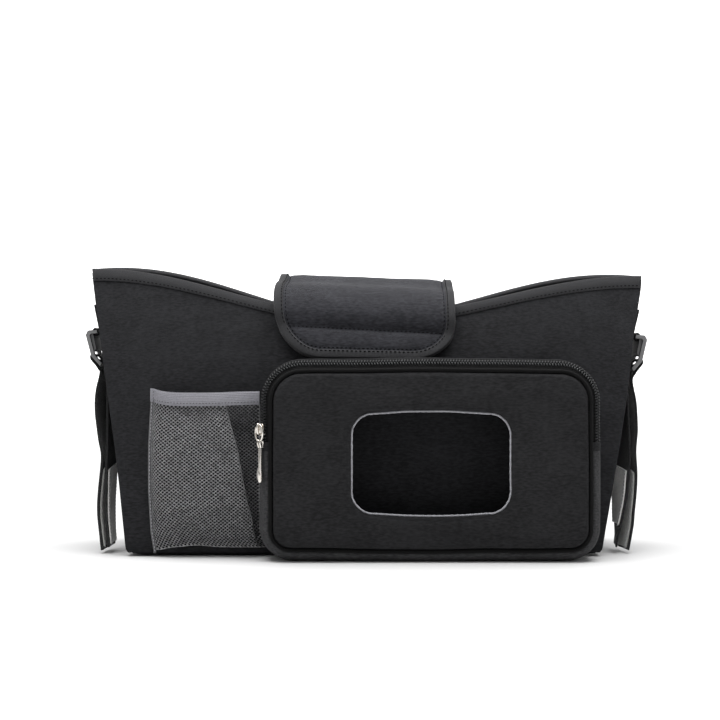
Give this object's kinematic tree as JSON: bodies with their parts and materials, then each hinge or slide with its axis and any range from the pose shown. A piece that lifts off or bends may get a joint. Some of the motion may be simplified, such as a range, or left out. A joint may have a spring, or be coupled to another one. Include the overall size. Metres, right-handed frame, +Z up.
{
  "type": "stroller organiser bag",
  "caption": "Open-topped fabric bag with a fold-over flap, a zipped wipes pocket with a window, a mesh pocket and a buckled strap on each side.",
  "frame": {"origin": "centre of the base's underside, which is the face that the bag stands on", "axes": "+X along the bag's length to the viewer's right, +Y from the front to the back, +Z up"},
  "size_m": [0.4051, 0.1493, 0.2055],
  "materials": {
    "body_cloth": "matt black woven polyester, fine plain weave",
    "binding_cloth": "matt black folded tape",
    "pocket_cloth": "matt black woven polyester",
    "base_board": "plain dark board",
    "mesh_net": "grey knitted net",
    "elastic": "lilac-grey ribbed elastic",
    "zip_tape": "black zip tape",
    "zip_coil": "black nylon coil",
    "zip_metal": "nickel plate, slightly warm",
    "window_edge": "light grey overlocked thread",
    "hook_loop": "grey hook and loop",
    "webbing": "black webbing",
    "buckle_plastic": "black moulded plastic, satin"
  },
  "bodies": {
    "root": {"front_panel": "body_cloth", "back_panel": "body_cloth", "gusset_left": "body_cloth", "gusset_right": "body_cloth", "base_panel": "body_cloth", "flap": "body_cloth", "front_top_binding": "binding_cloth", "back_top_binding": "binding_cloth", "flap_binding": "binding_cloth", "pocket_front": "pocket_cloth", "pocket_front_piping": "pocket_cloth", "pocket_back_piping": "pocket_cloth", "pocket_side_upper": "pocket_cloth", "pocket_side_lower": "pocket_cloth", "zip_end_left": "pocket_cloth", "zip_end_right": "pocket_cloth", "base_board": "base_board", "mesh_sheet": "mesh_net", "mesh_elastic": "elastic", "mesh_side_binding": "elastic", "zip_tape_front": "zip_tape", "zip_tape_back": "zip_tape", "zip_coil_front": "zip_coil", "zip_coil_back": "zip_coil", "pocket_window_edge": "window_edge", "flap_hook_strip": "hook_loop", "flap_loop_strip": "hook_loop", "buckle_tab_left": "webbing", "buckle_tab_right": "webbing"},
    "slider": {"zip_slider": "zip_metal"},
    "pull_ring": {"zip_pull_ring": "zip_metal"},
    "pull": {"zip_pull": "zip_metal"},
    "left_buckle": {"buckle_left": "buckle_plastic", "strap_left": "webbing", "strap_patch_left_inner": "hook_loop", "strap_patch_left_outer": "hook_loop"},
    "right_buckle": {"buckle_right": "buckle_plastic", "strap_right": "webbing", "strap_patch_right_inner": "hook_loop", "strap_patch_right_outer": "hook_loop"}
  },
  "joints": [
    {"name": "zip_slide", "type": "slide", "parent": "root", "child": "slider", "axis": [0, 0, 1], "range_m": [0, 0.012]},
    {"name": "ring_hinge", "type": "hinge", "parent": "slider", "child": "pull_ring", "pos_m": [-0.0717, -0.0863, 0.0897], "axis": [-0.7071, 0.7071, 0], "range_deg": [0, 90]},
    {"name": "pull_hinge", "type": "hinge", "parent": "pull_ring", "child": "pull", "pos_m": [-0.0717, -0.0863, 0.0803], "axis": [-0.7071, 0.7071, 0], "range_deg": [0, 80]},
    {"name": "left_buckle_hinge", "type": "hinge", "parent": "root", "child": "left_buckle", "pos_m": [-0.19457, 0, 0.1552], "axis": [0, 1, 0], "range_deg": [0, 75]},
    {"name": "right_buckle_hinge", "type": "hinge", "parent": "root", "child": "right_buckle", "pos_m": [0.194, 0, 0.1517], "axis": [0, -1, 0], "range_deg": [0, 75]}
  ]
}
